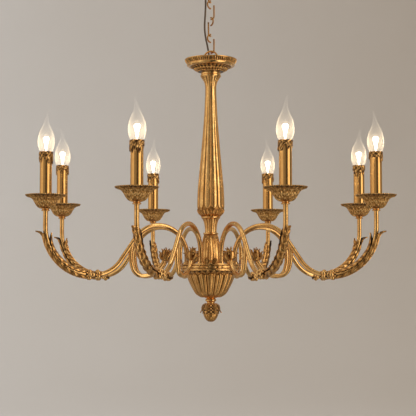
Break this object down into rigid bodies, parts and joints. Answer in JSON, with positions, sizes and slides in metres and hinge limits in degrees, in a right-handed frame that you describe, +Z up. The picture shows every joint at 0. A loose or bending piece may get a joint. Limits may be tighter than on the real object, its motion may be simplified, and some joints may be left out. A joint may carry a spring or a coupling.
{
  "type": "multi arm chandelier",
  "caption": "Candle-style chandelier in antique brass: S-curved arms with scrolls, leaves and drip pans round a reeded baluster column, hung by a short chain from a ceiling canopy.",
  "frame": {"origin": "middle of the ceiling bracket's top face, where it meets the ceiling", "axes": "+Z up, -Y towards the front, +X to the right seen from the front"},
  "size_m": [0.7564, 0.7564, 0.8072],
  "materials": {
    "aged_brass": "satin, lacquered, brown patina in the hollows",
    "dark_cast_brass": "cast, dark brown patina, rubbed bright on the edges",
    "polished_brass": "polished, lightly brushed",
    "zinc_steel": "zinc plated",
    "black_plastic": "matte moulded",
    "brown_flex": "smooth dark brown sheath",
    "bulb_glass": "clear, glowing warm white"
  },
  "bodies": {
    "ceiling_mount": {"ceiling_bracket": "zinc_steel", "bracket_nipple": "zinc_steel", "nipple_locknut": "zinc_steel", "ceiling_canopy": "aged_brass", "canopy_cord_bush": "black_plastic", "canopy_loop": "aged_brass"},
    "link_4": {"chain_link_4": "aged_brass"},
    "link_3": {"chain_link_3": "aged_brass"},
    "link_2": {"chain_link_2": "aged_brass"},
    "link_1": {"chain_link_1": "aged_brass"},
    "fixture": {"hanging_loop": "aged_brass", "top_dish": "aged_brass", "column_collar": "aged_brass", "column_shaft": "aged_brass", "column_bell": "aged_brass", "arm_hub": "aged_brass", "bowl": "aged_brass", "finial": "aged_brass", "arm_ferrules": "aged_brass", "inner_leaves": "aged_brass", "outer_leaves": "aged_brass", "arm_tube_1": "aged_brass", "arm_tube_2": "aged_brass", "arm_tube_3": "aged_brass", "arm_tube_4": "aged_brass", "arm_tube_5": "aged_brass", "arm_tube_6": "aged_brass", "arm_tube_7": "aged_brass", "arm_tube_8": "aged_brass", "scroll_branch_1": "aged_brass", "scroll_branch_2": "aged_brass", "scroll_branch_3": "aged_brass", "scroll_branch_4": "aged_brass", "scroll_branch_5": "aged_brass", "scroll_branch_6": "aged_brass", "scroll_branch_7": "aged_brass", "scroll_branch_8": "aged_brass", "drip_pans": "dark_cast_brass", "wax_collars": "dark_cast_brass", "arm_knobs": "dark_cast_brass", "bead_rings": "dark_cast_brass", "scroll_flowers": "dark_cast_brass", "candle_sleeves": "polished_brass", "pan_collars": "polished_brass", "centre_rod": "zinc_steel", "rod_nut": "zinc_steel", "arm_nuts": "zinc_steel", "lamp_holders": "black_plastic", "dish_cord_bush": "black_plastic", "terminal_block": "black_plastic", "supply_cord": "brown_flex", "arm_wires": "brown_flex"},
    "bulb_body_1": {"bulb_1": "bulb_glass"},
    "bulb_body_2": {"bulb_2": "bulb_glass"},
    "bulb_body_3": {"bulb_3": "bulb_glass"},
    "bulb_body_4": {"bulb_4": "bulb_glass"},
    "bulb_body_5": {"bulb_5": "bulb_glass"},
    "bulb_body_6": {"bulb_6": "bulb_glass"},
    "bulb_body_7": {"bulb_7": "bulb_glass"},
    "bulb_body_8": {"bulb_8": "bulb_glass"}
  },
  "joints": [
    {"name": "canopy_swing", "type": "hinge", "parent": "ceiling_mount", "child": "link_4", "pos_m": [0, 0, -0.078], "axis": [0.809, 0.5878, 0], "range_deg": [-8, 8], "deforming": ["supply_cord"]},
    {"name": "link_4_swing", "type": "hinge", "parent": "link_4", "child": "link_3", "pos_m": [0, 0, -0.11475], "axis": [-0.5878, 0.809, 0], "range_deg": [-8, 8], "deforming": ["supply_cord"]},
    {"name": "link_3_swing", "type": "hinge", "parent": "link_3", "child": "link_2", "pos_m": [0, 0, -0.15185], "axis": [0.809, 0.5878, 0], "range_deg": [-8, 8], "deforming": ["supply_cord"]},
    {"name": "link_2_swing", "type": "hinge", "parent": "link_2", "child": "link_1", "pos_m": [0, 0, -0.18895], "axis": [-0.5878, 0.809, 0], "range_deg": [-8, 8], "deforming": ["supply_cord"]},
    {"name": "fixture_swing", "type": "hinge", "parent": "link_1", "child": "fixture", "pos_m": [0, 0, -0.22605], "axis": [0.809, 0.5878, 0], "range_deg": [-8, 8], "deforming": ["supply_cord"]},
    {"name": "bulb_1_unscrew", "type": "slide", "parent": "fixture", "child": "bulb_body_1", "axis": [0, 0, 1], "range_m": [0, 0.03]},
    {"name": "bulb_2_unscrew", "type": "slide", "parent": "fixture", "child": "bulb_body_2", "axis": [0, 0, 1], "range_m": [0, 0.03]},
    {"name": "bulb_3_unscrew", "type": "slide", "parent": "fixture", "child": "bulb_body_3", "axis": [0, 0, 1], "range_m": [0, 0.03]},
    {"name": "bulb_4_unscrew", "type": "slide", "parent": "fixture", "child": "bulb_body_4", "axis": [0, 0, 1], "range_m": [0, 0.03]},
    {"name": "bulb_5_unscrew", "type": "slide", "parent": "fixture", "child": "bulb_body_5", "axis": [0, 0, 1], "range_m": [0, 0.03]},
    {"name": "bulb_6_unscrew", "type": "slide", "parent": "fixture", "child": "bulb_body_6", "axis": [0, 0, 1], "range_m": [0, 0.03]},
    {"name": "bulb_7_unscrew", "type": "slide", "parent": "fixture", "child": "bulb_body_7", "axis": [0, 0, 1], "range_m": [0, 0.03]},
    {"name": "bulb_8_unscrew", "type": "slide", "parent": "fixture", "child": "bulb_body_8", "axis": [0, 0, 1], "range_m": [0, 0.03]}
  ]
}
